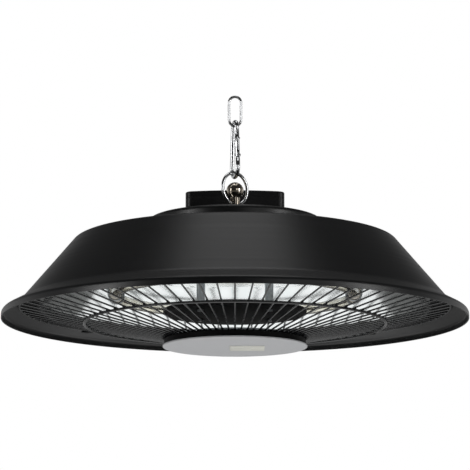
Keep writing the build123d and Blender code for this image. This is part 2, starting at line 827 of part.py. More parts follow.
# Heat shield between the shade and the reflector, on spacers
shade_ceiling = level(shade_height - shade_wall)
reflector_roof = level(reflector_top_height)
shield_level = (shade_ceiling + reflector_roof - shield_wall) / 2
with BuildPart() as heat_shield:
    with BuildSketch(Plane.XY.offset(shield_level)):
        Circle(shield_radius)
        Circle(wire_way_radius, mode=Mode.SUBTRACT)
        with Locations(*bolt_places):
            Circle(bolt_hole, mode=Mode.SUBTRACT)
    extrude(amount=shield_wall)
heat_shield.part.label = "heat_shield"
export_step(heat_shield.part, "parts/heat_shield.step")

with BuildPart() as frame_spacers:
    for low, high in (
        (reflector_roof, shield_level),
        (shield_level + shield_wall, shade_ceiling),
    ):
        with BuildSketch(Plane.XY.offset(low)):
            with Locations(*bolt_places):
                Circle(spacer_radius)
            with Locations(*bolt_places):
                Circle(bolt_hole, mode=Mode.SUBTRACT)
        extrude(amount=high - low)
frame_spacers.part.label = "frame_spacers"
export_step(frame_spacers.part, "parts/frame_spacers.step")

# Reflector: rolled lip, sloping wall, stepped seam and flat ceiling
lead_way = 3 * lead_radius + lead_bend_radius
carrier_bolt_places = [polar(carrier_spacer_circle_radius, 45 + 90 * turn) for turn in range(4)]
bracket_middle = tube_circle_radius + holder_width / 2 + bracket_foot / 2
bracket_bolt_places = [
    (side * bracket_middle, row * clip_offset) for side in (-1, 1) for row in (-1, 1)
]
with BuildPart() as reflector:
    with BuildSketch(front_plane(0, level(0))):
        with BuildLine():
            FilletPolyline(
                (reflector_mouth_radius + reflector_lip, reflector_mouth_height),
                (reflector_mouth_radius, reflector_mouth_height),
                (reflector_seam_radius, reflector_seam_height),
                (reflector_seam_radius - reflector_step, reflector_seam_height + reflector_step),
                (reflector_top_radius, reflector_top_height),
                (0, reflector_top_height),
                radius=[reflector_step, reflector_step / 2, reflector_step / 2, 2 * reflector_step],
            )
            offset(amount=reflector_wall, side=Side.LEFT)
        make_face()
    revolve(axis=Axis.Z)
    with BuildSketch(Plane.XY.offset(reflector_roof)):
        with Locations(*bolt_places):
            Circle(bolt_hole)
        with Locations(*carrier_bolt_places, *bracket_bolt_places):
            Circle(box_screw_hole)
        with Locations((-tube_circle_radius, 0), (tube_circle_radius, 0)):
            Circle(lead_way)
    extrude(amount=-2 * reflector_wall, mode=Mode.SUBTRACT)
reflector.part.label = "reflector"
export_step(reflector.part, "parts/reflector.step")

# Bolts up through reflector, spacers, shade and strap feet, with nuts inside the cap
reflector_ceiling = reflector_roof - reflector_wall
strap_foot_top = level(shade_height) + strap_thickness
with BuildPart() as frame_bolts:
    with BuildSketch(Plane.XY.offset(reflector_ceiling)):
        with Locations(*bolt_places):
            Circle(frame_bolt_head_radius)
    extrude(amount=-frame_bolt_head_height)
    with BuildSketch(Plane.XY.offset(reflector_ceiling)):
        with Locations(*bolt_places):
            Circle(frame_bolt_radius)
    extrude(amount=strap_foot_top - reflector_ceiling + frame_nut_height + thread_tail_length)
frame_bolts.part.label = "frame_bolts"
export_step(frame_bolts.part, "parts/frame_bolts.step")

with BuildPart() as frame_nuts:
    with BuildSketch(Plane.XY.offset(strap_foot_top)):
        with Locations(*bolt_places):
            RegularPolygon(frame_bolt_head_radius, 6, major_radius=False)
        with Locations(*bolt_places):
            Circle(frame_bolt_radius + running_gap, mode=Mode.SUBTRACT)
    extrude(amount=frame_nut_height)
frame_nuts.part.label = "frame_nuts"
export_step(frame_nuts.part, "parts/frame_nuts.step")

# Black carrier plate, a shallow dish hung under the reflector on four spacers
with BuildPart() as carrier_plate:
    with BuildSketch(Plane.XY.offset(level(carrier_height))):
        Circle(carrier_radius)
    extrude(amount=carrier_rim_height)
    fillet(carrier_plate.faces().sort_by(Axis.Z)[0].edges(), carrier_edge_radius)
    offset(amount=-carrier_wall, openings=carrier_plate.faces().sort_by(Axis.Z)[-1])
    with BuildSketch(Plane.XY.offset(level(carrier_height))):
        with Locations(*carrier_bolt_places):
            Circle(box_screw_hole)
    extrude(amount=carrier_wall, mode=Mode.SUBTRACT)
carrier_plate.part.label = "carrier_plate"
export_step(carrier_plate.part, "parts/carrier_plate.step")

carrier_floor = level(carrier_height + carrier_wall)
with BuildPart() as carrier_spacers:
    with BuildSketch(Plane.XY.offset(carrier_floor)):
        with Locations(*carrier_bolt_places):
            Circle(carrier_spacer_radius)
        with Locations(*carrier_bolt_places):
            Circle(box_screw_hole, mode=Mode.SUBTRACT)
    extrude(amount=reflector_ceiling - carrier_floor)
carrier_spacers.part.label = "carrier_spacers"
export_step(carrier_spacers.part, "parts/carrier_spacers.step")

with BuildPart() as carrier_screws:
    with BuildSketch(Plane.XY.offset(level(carrier_height))):
        with Locations(*carrier_bolt_places):
            Circle(small_screw_head_radius)
    extrude(amount=-small_screw_head_height)
    with BuildSketch(Plane.XY.offset(level(carrier_height))):
        with Locations(*carrier_bolt_places):
            Circle(small_screw_radius)
    extrude(amount=reflector_roof + small_screw_head_height - level(carrier_height))
    with BuildSketch(Plane.XY.offset(reflector_roof)):
        with Locations(*carrier_bolt_places):
            Circle(small_screw_head_radius)
    extrude(amount=small_screw_head_height)
carrier_screws.part.label = "carrier_screws"
export_step(carrier_screws.part, "parts/carrier_screws.step")

# Heating tubes: two hollow glass half rings with a filament each, between ceramic end caps
cap_start = degrees(tube_end_gap / tube_circle_radius)
cap_end = degrees((tube_end_gap + end_cap_length) / tube_circle_radius)
glass_arc = 180 - 2 * cap_end


def ring_plane_at(angle):
    """Upright plane through the Z axis at an angle, x outwards."""
    return Plane(origin=(0, 0, level(tube_height)), x_dir=(*polar(1, angle), 0),
                 z_dir=(*polar(1, angle - 90), 0))


with BuildPart() as front_tube:
    with BuildSketch(ring_plane_at(180 + cap_end)):
        with Locations((tube_circle_radius, 0)):
            Circle(tube_radius)
            Circle(tube_radius - tube_glass, mode=Mode.SUBTRACT)
    revolve(axis=Axis.Z, revolution_arc=glass_arc)
front_tube.part.label = "front_tube"
export_step(front_tube.part, "parts/front_tube.step")

with BuildPart() as rear_tube:
    with BuildSketch(ring_plane_at(cap_end)):
        with Locations((tube_circle_radius, 0)):
            Circle(tube_radius)
            Circle(tube_radius - tube_glass, mode=Mode.SUBTRACT)
    revolve(axis=Axis.Z, revolution_arc=glass_arc)
rear_tube.part.label = "rear_tube"
export_step(rear_tube.part, "parts/rear_tube.step")

with BuildPart() as filaments:
    for start in (cap_end, 180 + cap_end):
        with BuildSketch(ring_plane_at(start)):
            with Locations((tube_circle_radius, 0)):
                Circle(filament_radius)
        revolve(axis=Axis.Z, revolution_arc=glass_arc)
filaments.part.label = "filaments"
export_step(filaments.part, "parts/filaments.step")

with BuildPart() as tube_end_caps:
    for start in (cap_start, 180 - cap_end, 180 + cap_start, 360 - cap_end):
        with BuildSketch(ring_plane_at(start)):
            with Locations((tube_circle_radius, 0)):
                Circle(end_cap_radius)
        revolve(axis=Axis.Z, revolution_arc=cap_end - cap_start)
tube_end_caps.part.label = "tube_end_caps"
export_step(tube_end_caps.part, "parts/tube_end_caps.step")

# Ceramic holder blocks above the tube ends, one by each end cap
holder_level = level(tube_height + holder_rise)
holder_x = sqrt(tube_circle_radius**2 - clip_offset**2)
holder_places = [(side * holder_x, row * clip_offset) for side in (-1, 1) for row in (-1, 1)]
with BuildPart() as tube_holders:
    with BuildSketch(Plane.XY.offset(holder_level)):
        with Locations(*holder_places):
            Rectangle(holder_width, holder_depth)
    extrude(amount=holder_height)
    chamfer(tube_holders.edges().filter_by(Axis.Z), holder_chamfer)
tube_holders.part.label = "tube_holders"
export_step(tube_holders.part, "parts/tube_holders.step")

# Steel brackets that hang the holder blocks from the reflector
bracket_width = 2 * clip_offset + holder_depth
with BuildPart() as holder_brackets:
    for side in (-1, 1):
        inside = side * (holder_x + holder_width / 2)
        with BuildSketch(front_plane(bracket_width / 2, 0)):
            with BuildLine():
                Polyline(
                    (inside, holder_level),
                    (inside + side * bracket_thickness, holder_level),
                    (inside + side * bracket_thickness, reflector_ceiling - bracket_thickness),
                    (inside + side * bracket_foot, reflector_ceiling - bracket_thickness),
                    (inside + side * bracket_foot, reflector_ceiling),
                    (inside, reflector_ceiling),
                    close=True,
                )
            make_face()
        extrude(amount=bracket_width)
    with BuildSketch(Plane.XY.offset(reflector_ceiling)):
        with Locations(*bracket_bolt_places):
            Circle(box_screw_hole)
    extrude(amount=-bracket_thickness, mode=Mode.SUBTRACT)
holder_brackets.part.label = "holder_brackets"
export_step(holder_brackets.part, "parts/holder_brackets.step")

bracket_seat = reflector_ceiling - bracket_thickness
with BuildPart() as bracket_screws:
    with BuildSketch(Plane.XY.offset(bracket_seat)):
        with Locations(*bracket_bolt_places):
            Circle(small_screw_head_radius)
    extrude(amount=-small_screw_head_height)
    with BuildSketch(Plane.XY.offset(bracket_seat)):
        with Locations(*bracket_bolt_places):
            Circle(small_screw_radius)
    extrude(amount=bracket_thickness + reflector_wall + small_screw_head_height)
    with BuildSketch(Plane.XY.offset(reflector_roof)):
        with Locations(*bracket_bolt_places):
            Circle(small_screw_head_radius)
    extrude(amount=small_screw_head_height)
bracket_screws.part.label = "bracket_screws"
export_step(bracket_screws.part, "parts/bracket_screws.step")

# Spring wire clips under the end caps
clip_bend = end_cap_radius + clip_wire / 2 + hang_gap
with BuildPart() as tube_clips:
    for x, y in holder_places:
        with BuildLine(front_plane(y, 0)) as clip_path:
            Line((x - clip_bend, holder_level), (x - clip_bend, level(tube_height)))
            ThreePointArc(
                (x - clip_bend, level(tube_height)),
                (x, level(tube_height) - clip_bend),
                (x + clip_bend, level(tube_height)),
            )
            Line((x + clip_bend, level(tube_height)), (x + clip_bend, holder_level))
        with BuildSketch(Plane(clip_path.line @ 0, z_dir=clip_path.line % 0)):
            Circle(clip_wire / 2)
        sweep(path=clip_path.line)
tube_clips.part.label = "tube_clips"
export_step(tube_clips.part, "parts/tube_clips.step")

# Leads from the end caps, over the reflector and up into the cap to the terminal block
lead_level = (reflector_roof + shield_level) / 2
lead_top = terminal_floor + lead_rise
with BuildPart() as heater_leads:
    for side in (-1, 1):
        for row in (-1, 1):
            post_x = side * (terminal_pitch + row * 2 * lead_bend_radius)
            start_x = side * sqrt(tube_circle_radius**2 - tube_end_gap**2)
            row_y = row * 2 * lead_radius
            turns = [
                (start_x, row * (tube_end_gap - seat_gap), level(tube_height)),
                (start_x, row_y, level(tube_height)),
                (start_x, row_y, lead_level),
                (post_x, row_y, lead_level),
                (post_x, row_y, lead_top),
                (post_x, terminal_front, lead_top),
            ]
            with BuildLine() as lead_path:
                FilletPolyline(*turns, radius=[lead_bend_radius] * (len(turns) - 2))
            with BuildSketch(Plane(lead_path.line @ 0, z_dir=lead_path.line % 0)):
                Circle(lead_radius)
            sweep(path=lead_path.line)
heater_leads.part.label = "heater_leads"
export_step(heater_leads.part, "parts/heater_leads.step")

# Grille: a shallow cone of straight wires between the outer ring and the hub
disc_level = level(-disc_drop)
hub_floor = disc_level + disc_thickness
hub_rim = hub_floor + hub_depth
flare_slope = (flare_top_height - brim_face_height) / (brim_radius - flare_top_radius)
flare_lean = hypot(1, flare_slope)
flare_under = flare_top_height - (grille_ring_radius - flare_top_radius) * flare_slope
flare_under = flare_under - shade_wall * flare_lean
ring_wire_radius = grille_ring_wire / 2
spoke_radius = grille_wire / 2
ring_level = level(flare_under) - (ring_wire_radius + grille_air_gap) * flare_lean
spoke_outer = grille_ring_radius - ring_wire_radius - seat_gap
hub_seat_radius = hub_radius - hub_wall
spoke_inner = hub_seat_radius - wire_tail_length
hub_spoke_level = hub_rim + spoke_radius + 2 * seat_gap
spoke_slope = (ring_level - hub_spoke_level) / (spoke_outer - hub_seat_radius)
spoke_lean = hypot(1, spoke_slope)
spoke_inner_level = hub_spoke_level - wire_tail_length * spoke_slope
mid_spoke_level = hub_spoke_level + (grille_mid_radius - hub_seat_radius) * spoke_slope
mid_ring_level = mid_spoke_level - (spoke_radius + ring_wire_radius + seat_gap) * spoke_lean

with BuildPart() as grille_outer_ring:
    with BuildSketch(Plane.XZ):
        with Locations((grille_ring_radius, ring_level)):
            Circle(ring_wire_radius)
    revolve(axis=Axis.Z)
grille_outer_ring.part.label = "grille_outer_ring"
export_step(grille_outer_ring.part, "parts/grille_outer_ring.step")

with BuildPart() as grille_mid_ring:
    with BuildSketch(Plane.XZ):
        with Locations((grille_mid_radius, mid_ring_level)):
            Circle(ring_wire_radius)
    revolve(axis=Axis.Z)
grille_mid_ring.part.label = "grille_mid_ring"
export_step(grille_mid_ring.part, "parts/grille_mid_ring.step")

spoke_length = (spoke_outer - spoke_inner) * spoke_lean
spoke_tilt = degrees(atan2(spoke_slope, 1))
with BuildPart() as grille_wires:
    for number in range(wire_count):
        turn = 360 / wire_count * number
        outwards = (*polar(1, turn), spoke_slope)
        with BuildSketch(Plane((*polar(spoke_inner, turn), spoke_inner_level), z_dir=outwards)):
            Circle(spoke_radius)
        extrude(amount=spoke_length)
grille_wires.part.label = "grille_wires"
export_step(grille_wires.part, "parts/grille_wires.step")

# Hub pan under the wires' inner ends, and the plate that clamps them to it
hub_screw_places = [polar(hub_screw_circle_radius, 45 + 90 * turn) for turn in range(4)]
with BuildPart() as hub_pan:
    with BuildSketch(Plane.XY.offset(hub_floor)):
        Circle(hub_radius)
    extrude(amount=hub_depth)
    offset(amount=-hub_wall, openings=hub_pan.faces().sort_by(Axis.Z)[-1])
    with BuildSketch(Plane.XY.offset(hub_floor + hub_wall)):
        Circle(spoke_inner + wire_tail_length / 2)
        Circle(spoke_inner - hub_wall, mode=Mode.SUBTRACT)
    extrude(amount=spoke_inner_level - (spoke_radius + seat_gap) * spoke_lean - hub_floor - hub_wall)
    with BuildSketch(Plane.XY.offset(hub_floor)):
        with Locations(*hub_screw_places):
            Circle(box_screw_hole)
    extrude(amount=hub_wall, mode=Mode.SUBTRACT)
hub_pan.part.label = "hub_pan"
export_step(hub_pan.part, "parts/hub_pan.step")

clamp_radius = hub_seat_radius - hub_clamp_margin
clamp_spoke_level = hub_spoke_level - (hub_seat_radius - clamp_radius) * spoke_slope
clamp_level = clamp_spoke_level + (spoke_radius + seat_gap) * spoke_lean
with BuildPart() as hub_clamp:
    with BuildSketch(Plane.XY.offset(clamp_level)):
        Circle(clamp_radius)
        with Locations(*hub_screw_places):
            Circle(box_screw_hole, mode=Mode.SUBTRACT)
    extrude(amount=hub_clamp_wall)
    with BuildSketch(Plane.XY.offset(hub_floor + hub_wall)):
        with Locations(*hub_screw_places):
            Circle(carrier_spacer_radius)
        with Locations(*hub_screw_places):
            Circle(box_screw_hole, mode=Mode.SUBTRACT)
    extrude(amount=clamp_level - hub_floor - hub_wall)
hub_clamp.part.label = "hub_clamp"
export_step(hub_clamp.part, "parts/hub_clamp.step")

with BuildPart() as hub_screws:
    with BuildSketch(Plane.XY.offset(clamp_level + hub_clamp_wall)):
        with Locations(*hub_screw_places):
            Circle(small_screw_head_radius)
    extrude(amount=small_screw_head_height)
    with BuildSketch(Plane.XY.offset(hub_floor)):
        with Locations(*hub_screw_places):
            Circle(small_screw_radius)
    extrude(amount=clamp_level + hub_clamp_wall - hub_floor)
hub_screws.part.label = "hub_screws"
export_step(hub_screws.part, "parts/hub_screws.step")

# Satin bottom disc, with a plain plate on it
with BuildPart() as bottom_disc:
    with BuildSketch(Plane.XY.offset(disc_level)):
        Circle(disc_radius)
    extrude(amount=disc_thickness)
    fillet(bottom_disc.faces().sort_by(Axis.Z)[0].edges(), disc_edge_radius)
bottom_disc.part.label = "bottom_disc"
export_step(bottom_disc.part, "parts/bottom_disc.step")

with BuildPart() as disc_plate:
    with BuildSketch(Plane.XY.offset(disc_level)):
        with Locations((plate_x, plate_y)):
            RectangleRounded(plate_width, plate_depth, plate_corner_radius)
    extrude(amount=-plate_thickness)
disc_plate.part.label = "disc_plate"
export_step(disc_plate.part, "parts/disc_plate.step")

# Clips that hang the outer ring from the inside of the cone
clip_inner = grille_ring_radius - ring_wire_radius - seat_gap - clip_tab_width
clip_tab_level = ring_level - ring_wire_radius - seat_gap
cone_slope = (shade_height - flare_top_height) / (flare_top_radius - shade_top_radius)
cone_under = flare_top_height + (flare_top_radius - clip_inner - clip_tab_thickness) * cone_slope
cone_under = cone_under - shade_wall * hypot(1, cone_slope)
with BuildPart() as grille_clips:
    for number in range(clip_count):
        turn = 45 + 360 / clip_count * number + 180 / wire_count
        clip_plane = Plane(
            origin=(0, 0, 0), x_dir=(*polar(1, turn), 0), z_dir=(*polar(1, turn - 90), 0)
        )
        with BuildSketch(clip_plane.offset(-clip_tab_width / 2)):
            with BuildLine():
                Polyline(
                    (clip_inner, clip_tab_level - clip_tab_thickness),
                    (grille_ring_radius + ring_wire_radius, clip_tab_level - clip_tab_thickness),
                    (grille_ring_radius + ring_wire_radius, clip_tab_level),
                    (clip_inner + clip_tab_thickness, clip_tab_level),
                    (clip_inner + clip_tab_thickness, level(cone_under) - seat_gap),
                    (clip_inner, level(cone_under) - seat_gap),
                    close=True,
                )
            make_face()
        extrude(amount=clip_tab_width)
grille_clips.part.label = "grille_clips"
export_step(grille_clips.part, "parts/grille_clips.step")
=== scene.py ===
"""Dresses the hanging infrared heater: finishes, fine pieces, studio and camera. Metres, +Z up."""
import json
from math import acos, atan, cos, pi, radians, sin, tan

import bpy
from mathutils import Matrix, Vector

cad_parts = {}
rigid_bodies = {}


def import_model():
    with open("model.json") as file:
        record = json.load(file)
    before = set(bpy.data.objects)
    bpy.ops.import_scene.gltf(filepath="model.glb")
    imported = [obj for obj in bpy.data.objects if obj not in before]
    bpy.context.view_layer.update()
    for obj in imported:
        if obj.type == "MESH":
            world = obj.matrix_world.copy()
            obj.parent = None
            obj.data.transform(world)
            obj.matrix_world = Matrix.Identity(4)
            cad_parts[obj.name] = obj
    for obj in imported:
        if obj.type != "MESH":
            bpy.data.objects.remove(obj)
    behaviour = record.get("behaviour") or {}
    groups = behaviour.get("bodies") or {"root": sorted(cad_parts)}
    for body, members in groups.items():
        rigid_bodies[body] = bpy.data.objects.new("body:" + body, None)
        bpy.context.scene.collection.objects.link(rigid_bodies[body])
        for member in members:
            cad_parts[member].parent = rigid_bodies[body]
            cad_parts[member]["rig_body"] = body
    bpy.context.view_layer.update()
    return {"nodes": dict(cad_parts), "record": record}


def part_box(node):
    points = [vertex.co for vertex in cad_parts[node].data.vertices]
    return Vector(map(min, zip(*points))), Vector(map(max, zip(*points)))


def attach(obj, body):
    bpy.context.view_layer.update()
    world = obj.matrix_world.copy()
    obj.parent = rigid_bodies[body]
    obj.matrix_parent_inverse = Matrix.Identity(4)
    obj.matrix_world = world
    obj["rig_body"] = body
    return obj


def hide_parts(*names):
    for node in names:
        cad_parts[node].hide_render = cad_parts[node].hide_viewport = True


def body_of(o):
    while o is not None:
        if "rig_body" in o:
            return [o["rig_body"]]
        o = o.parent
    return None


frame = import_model()
MM = 0.001


def node_box(name):
    """Lowest and highest corner of a CAD node as vectors."""
    low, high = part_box(name)
    return Vector(low), Vector(high)


shade_low, shade_high = node_box("shade")
brim_level = shade_low.z

# Sizes in millimetres, heights above the lower edge of the shade
BRIM_RADIUS = shade_high.x / MM
SHADE_HEIGHT = (shade_high.z - shade_low.z) / MM
BRIM_FACE = 6.0
BRIM_CORNER = 4.5
FLARE_WIDTH = 17.3
FLARE_HEIGHT = 15.1
FLARE_BEND = 14.0
CONE_WIDTH = 48.7
CONE_TOP_BEND = 6.0
SHADE_WALL = 1.2
WIRE_WAY = 17.0                # radius of the hole in the top for the wires
CAP_CORNER = 4.0
MOUTH_RADIUS = 174.0
MOUTH_HEIGHT = 18.0
MOUTH_LIP = 4.0
SEAM_RADIUS = 144.0
SEAM_HEIGHT = 54.0
SEAM_STEP = 1.2
CEILING_RADIUS = 139.0
CEILING_HEIGHT = 62.0
REFLECTOR_WALL = 0.8
DISC_EDGE = 0.5
HUB_WALL = 1.0
HUB_EDGE = 1.0
CARRIER_WALL = 1.5
CARRIER_EDGE = 2.4
TUBE_CIRCLE = 109.0
TUBE_HEIGHT = 24.0
COIL_RADIUS = 1.0
COIL_WIRE = 0.3
COIL_PITCH = 1.3
END_GAP = 20.0                 # from the X axis to the glass, along the ring
WIRE_SIZE = 0.8                # radius of a grille wire
WIRE_TAIL = 10.0               # of a wire inside the hub pan
WIRE_ROUNDING = 0.5            # share of the wire's radius
WELD_SIZE = (1.5, 1.05, 0.95)  # along the wire, across it and up
WELD_INSET = 1.0               # from the wire's outer end
PIN_SIZE = 0.75
PIN_REACH = 2.9
PIN_DROP = 2.4                 # below the top of the gate
PIN_ROUNDING = 0.3             # share of the pin's radius

# Counts and fineness
WIRE_COUNT = 72
WIRE_SIDES = 14
WELD_SIDES = 10
WELD_ROWS = 6
PIN_SIDES = 20
COIL_POINTS = 10
RING_SIDES = 16
ROUND_STEPS = 192
ARC_STEP = 10                  # degrees
SHEET_SMOOTH = 30              # degrees
SOLID_SMOOTH = 35
WIRE_SMOOTH = 50
PIN_SMOOTH = 40
SAME_PLACE = 2e-6              # metres
NOISE_LOW = 0.3                # where most of a noise begins and ends
NOISE_HIGH = 0.7

# Camera and studio, in metres, degrees and watts
CAMERA_DISTANCE = 2.178
CAMERA_DROP = 0.3255           # below the lower edge of the shade
CAMERA_PITCH = 10.54
FOCAL_PIXELS = 2416.0
FRAME_PIXELS = 470.0
FLOOR_SIZE = 14.0
FLOOR_DROP = 0.75
FLOOR_LIFT = 0.55              # only in what the camera sees of the floor
FILL_LIGHT = 0.16
MIRRORED_FRONT = 0.03          # the surround as bright metal and gloss see it
MIRRORED_BACK = 0.6
HEART_HEIGHT = 0.05
STRIP_AIM = Vector((0, 0, -0.06))


def linear(code):
    """sRGB hex colour as linear RGBA."""
    channels = [int(code[place:place + 2], 16) / 255 for place in (1, 3, 5)]
    flat = [c / 12.92 if c <= 0.04045 else ((c + 0.055) / 1.055) ** 2.4 for c in channels]
    return (*flat, 1.0)


def add(tree, kind, settings=None, **links):
    """Adds one node, sets its own settings and its inputs: a value, or another node's output."""
    node = tree.nodes.new(kind)
    for key, value in (settings or {}).items():
        setattr(node, key, value)
    for key, value in links.items():
        socket = node.inputs[int(key[1:])] if key[0] == "i" and key[1:].isdigit() else node.inputs[key]
        if isinstance(value, bpy.types.NodeSocket):
            tree.links.new(value, socket)
        else:
            socket.default_value = value
    return node


def finish(name, colour, roughness, metallic=0.0, specular=0.5):
    """A Principled material with its plain values on the shader's own sockets."""
    material = bpy.data.materials.new(name)
    material.use_nodes = True
    tree = material.node_tree
    shader = tree.nodes["Principled BSDF"]
    shader.inputs["Base Color"].default_value = linear(colour)
    shader.inputs["Roughness"].default_value = roughness
    shader.inputs["Metallic"].default_value = metallic
    shader.inputs["Specular IOR Level"].default_value = specular
    return material, tree, shader


def grain(tree, size_mm, stretch=(1, 1, 1), detail=3.0):
    """Noise of a real grain size on Object coordinates, longer along an axis with a small stretch."""
    place = add(tree, "ShaderNodeTexCoord").outputs["Object"]
    scale = tuple(part / (size_mm * MM) for part in stretch)
    moved = add(tree, "ShaderNodeMapping", None, Vector=place, Scale=scale).outputs["Vector"]
    return add(tree, "ShaderNodeTexNoise", None, Vector=moved, Scale=1.0, Detail=detail).outputs["Fac"]


def spread(tree, source, low, high):
    """Maps the middle of a noise onto low to high."""
    pairs = {"From Min": NOISE_LOW, "From Max": NOISE_HIGH, "To Min": low, "To Max": high}
    return add(tree, "ShaderNodeMapRange", None, Value=source, **pairs).outputs["Result"]


def tint(tree, source, dark, light):
    """Blends two colours by a noise."""
    ramp = add(tree, "ShaderNodeValToRGB", None, Fac=source)
    ramp.color_ramp.elements[0].position = NOISE_LOW
    ramp.color_ramp.elements[1].position = NOISE_HIGH
    ramp.color_ramp.elements[0].color = linear(dark)
    ramp.color_ramp.elements[1].color = linear(light)
    return ramp.outputs["Color"]


def relief(tree, shader, height, depth_mm):
    """Bump of a real depth from a height."""
    bump = add(tree, "ShaderNodeBump", None, Height=height, Distance=depth_mm * MM, Strength=1.0)
    tree.links.new(bump.outputs["Normal"], shader.inputs["Normal"])


def satin_black_shade():
    """Powder coat on spun sheet: fine turned lines round the cone and a soft broad sheen."""
    material, tree, shader = finish("satin_black_spun_shade", "#0b0c0d", 0.36, specular=0.45)
    lines = grain(tree, 1.1, (0.004, 0.004, 1.0), 2.0)
    coat = grain(tree, 1.4)
    tree.links.new(tint(tree, lines, "#0a0b0c", "#0e0f11"), shader.inputs["Base Color"])
    tree.links.new(spread(tree, lines, 0.34, 0.39), shader.inputs["Roughness"])
    both = add(tree, "ShaderNodeMath", {"operation": "MULTIPLY_ADD"}, i0=lines, i1=1.0, i2=coat)
    relief(tree, shader, both.outputs["Value"], 0.006)
    return material


def satin_black_cap():
    """The same coat on a pressed cap, without turned lines."""
    material, tree, shader = finish("satin_black_cap", "#08090a", 0.38)
    coat = grain(tree, 1.4)
    tree.links.new(spread(tree, coat, 0.34, 0.44), shader.inputs["Roughness"])
    tree.links.new(tint(tree, coat, "#070809", "#0a0b0c"), shader.inputs["Base Color"])
    relief(tree, shader, coat, 0.015)
    return material


def moulded_black():
    """Fine-textured black polycarbonate."""
    material, tree, shader = finish("moulded_black_plastic", "#0b0b0d", 0.4, specular=0.4)
    spark = grain(tree, 1.0)
    tree.links.new(spread(tree, spark, 0.34, 0.46), shader.inputs["Roughness"])
    tree.links.new(tint(tree, spark, "#09090b", "#0e0e10"), shader.inputs["Base Color"])
    relief(tree, shader, spark, 0.03)
    return material


def plated(name, dark, light, low, high):
    """Bright plating: mirror-like, a little cloudy, with faint draw marks."""
    material, tree, shader = finish(name, light, low, 1.0)
    cloud = grain(tree, 5.0)
    tree.links.new(tint(tree, cloud, dark, light), shader.inputs["Base Color"])
    tree.links.new(spread(tree, cloud, low, high), shader.inputs["Roughness"])
    relief(tree, shader, cloud, 0.002)
    return material


def zinc():
    """Zinc-plated steel: dull, slightly blue and mottled."""
    material, tree, shader = finish("zinc_plated_steel", "#a9adb0", 0.4, 1.0)
    spangle = grain(tree, 3.0)
    tree.links.new(tint(tree, spangle, "#93979b", "#b6babc"), shader.inputs["Base Color"])
    tree.links.new(spread(tree, spangle, 0.32, 0.5), shader.inputs["Roughness"])
    relief(tree, shader, spangle, 0.01)
    return material


def polished_reflector():
    """Polished aluminium sheet: near mirror, with faint round spinning marks and handling haze."""
    material, tree, shader = finish("polished_aluminium_reflector", "#dfe3e3", 0.12, 1.0)
    marks = grain(tree, 1.6, (0.01, 0.01, 1.0), 2.0)
    haze = grain(tree, 22.0)
    tree.links.new(tint(tree, haze, "#dde2e2", "#eceff0"), shader.inputs["Base Color"])
    tree.links.new(spread(tree, haze, 0.1, 0.16), shader.inputs["Roughness"])
    relief(tree, shader, marks, 0.002)
    return material


def black_enamel():
    """Heat-proof enamel: deep black, lightly orange-peeled."""
    material, tree, shader = finish("black_heatproof_enamel", "#050506", 0.55, specular=0.12)
    peel = grain(tree, 2.5)
    tree.links.new(tint(tree, peel, "#040405", "#070708"), shader.inputs["Base Color"])
    tree.links.new(spread(tree, peel, 0.5, 0.62), shader.inputs["Roughness"])
    relief(tree, shader, peel, 0.02)
    return material


def coated_wire():
    """Semi-gloss black coating on drawn wire, a little thicker at the welds."""
    material, tree, shader = finish("black_coated_wire", "#131416", 0.25, specular=0.7)
    coat = grain(tree, 2.0)
    tree.links.new(tint(tree, coat, "#101113", "#17181b"), shader.inputs["Base Color"])
    tree.links.new(spread(tree, coat, 0.2, 0.3), shader.inputs["Roughness"])
    relief(tree, shader, coat, 0.02)
    return material


def quartz():
    """Clear quartz tube with faint drawing streaks."""
    material, tree, shader = finish("clear_quartz", "#f4f2ea", 0.03)
    shader.inputs["Transmission Weight"].default_value = 1.0
    shader.inputs["IOR"].default_value = 1.46
    streak = grain(tree, 8.0)
    tree.links.new(tint(tree, streak, "#ece8dc", "#faf9f4"), shader.inputs["Base Color"])
    tree.links.new(spread(tree, streak, 0.02, 0.08), shader.inputs["Roughness"])
    return material


def wound_wire():
    """Oxidised heating wire."""
    material, tree, shader = finish("oxidised_heating_wire", "#4a4744", 0.5, 1.0)
    scale = grain(tree, 1.5)
    tree.links.new(tint(tree, scale, "#33302d", "#5c5348"), shader.inputs["Base Color"])
    tree.links.new(spread(tree, scale, 0.4, 0.6), shader.inputs["Roughness"])
    relief(tree, shader, scale, 0.02)
    return material


def mottled(name, dark, light, low, high, size_mm, depth_mm):
    """A plain material whose colour, gloss and relief follow one grain."""
    material, tree, shader = finish(name, light, low)
    spots = grain(tree, size_mm)
    tree.links.new(tint(tree, spots, dark, light), shader.inputs["Base Color"])
    tree.links.new(spread(tree, spots, low, high), shader.inputs["Roughness"])
    relief(tree, shader, spots, depth_mm)
    return material


